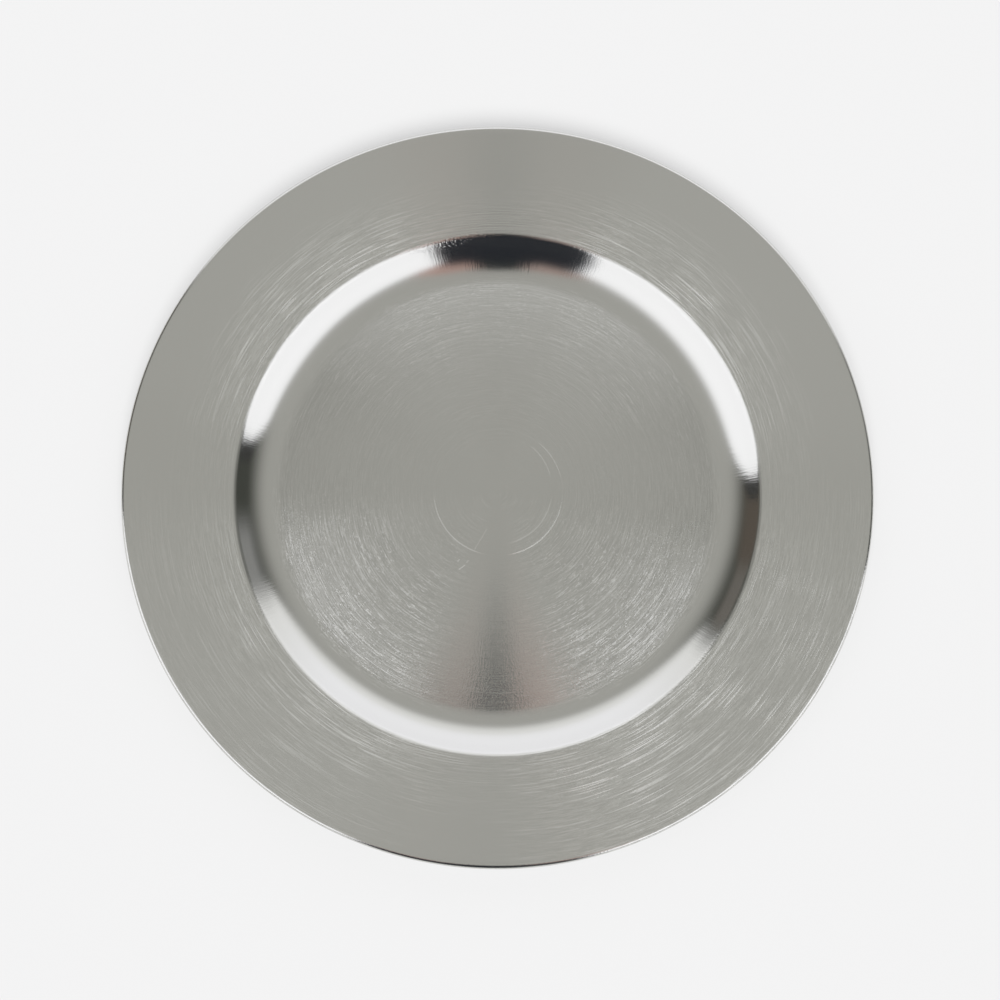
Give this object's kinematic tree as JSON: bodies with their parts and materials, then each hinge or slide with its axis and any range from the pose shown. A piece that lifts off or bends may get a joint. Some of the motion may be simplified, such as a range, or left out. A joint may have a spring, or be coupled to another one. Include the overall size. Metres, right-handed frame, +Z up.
{
  "type": "offering plate",
  "caption": "Round brushed silver plate with a shallow well, a wide gently rising rim, a curled edge and a felt base.",
  "frame": {"origin": "centre of the felt's underside, where the plate's axis meets the surface it stands on", "axes": "+Z up along the plate's axis; +X and +Y are any two square directions, because the plate is round"},
  "size_m": [0.33, 0.33, 0.0136],
  "materials": {
    "brushed_silver": "circular brushed, satin, bright at the wall and edge",
    "grey_felt": "pressed wool felt"
  },
  "bodies": {
    "root": {"plate_dish": "brushed_silver", "base_felt": "grey_felt"}
  },
  "joints": []
}
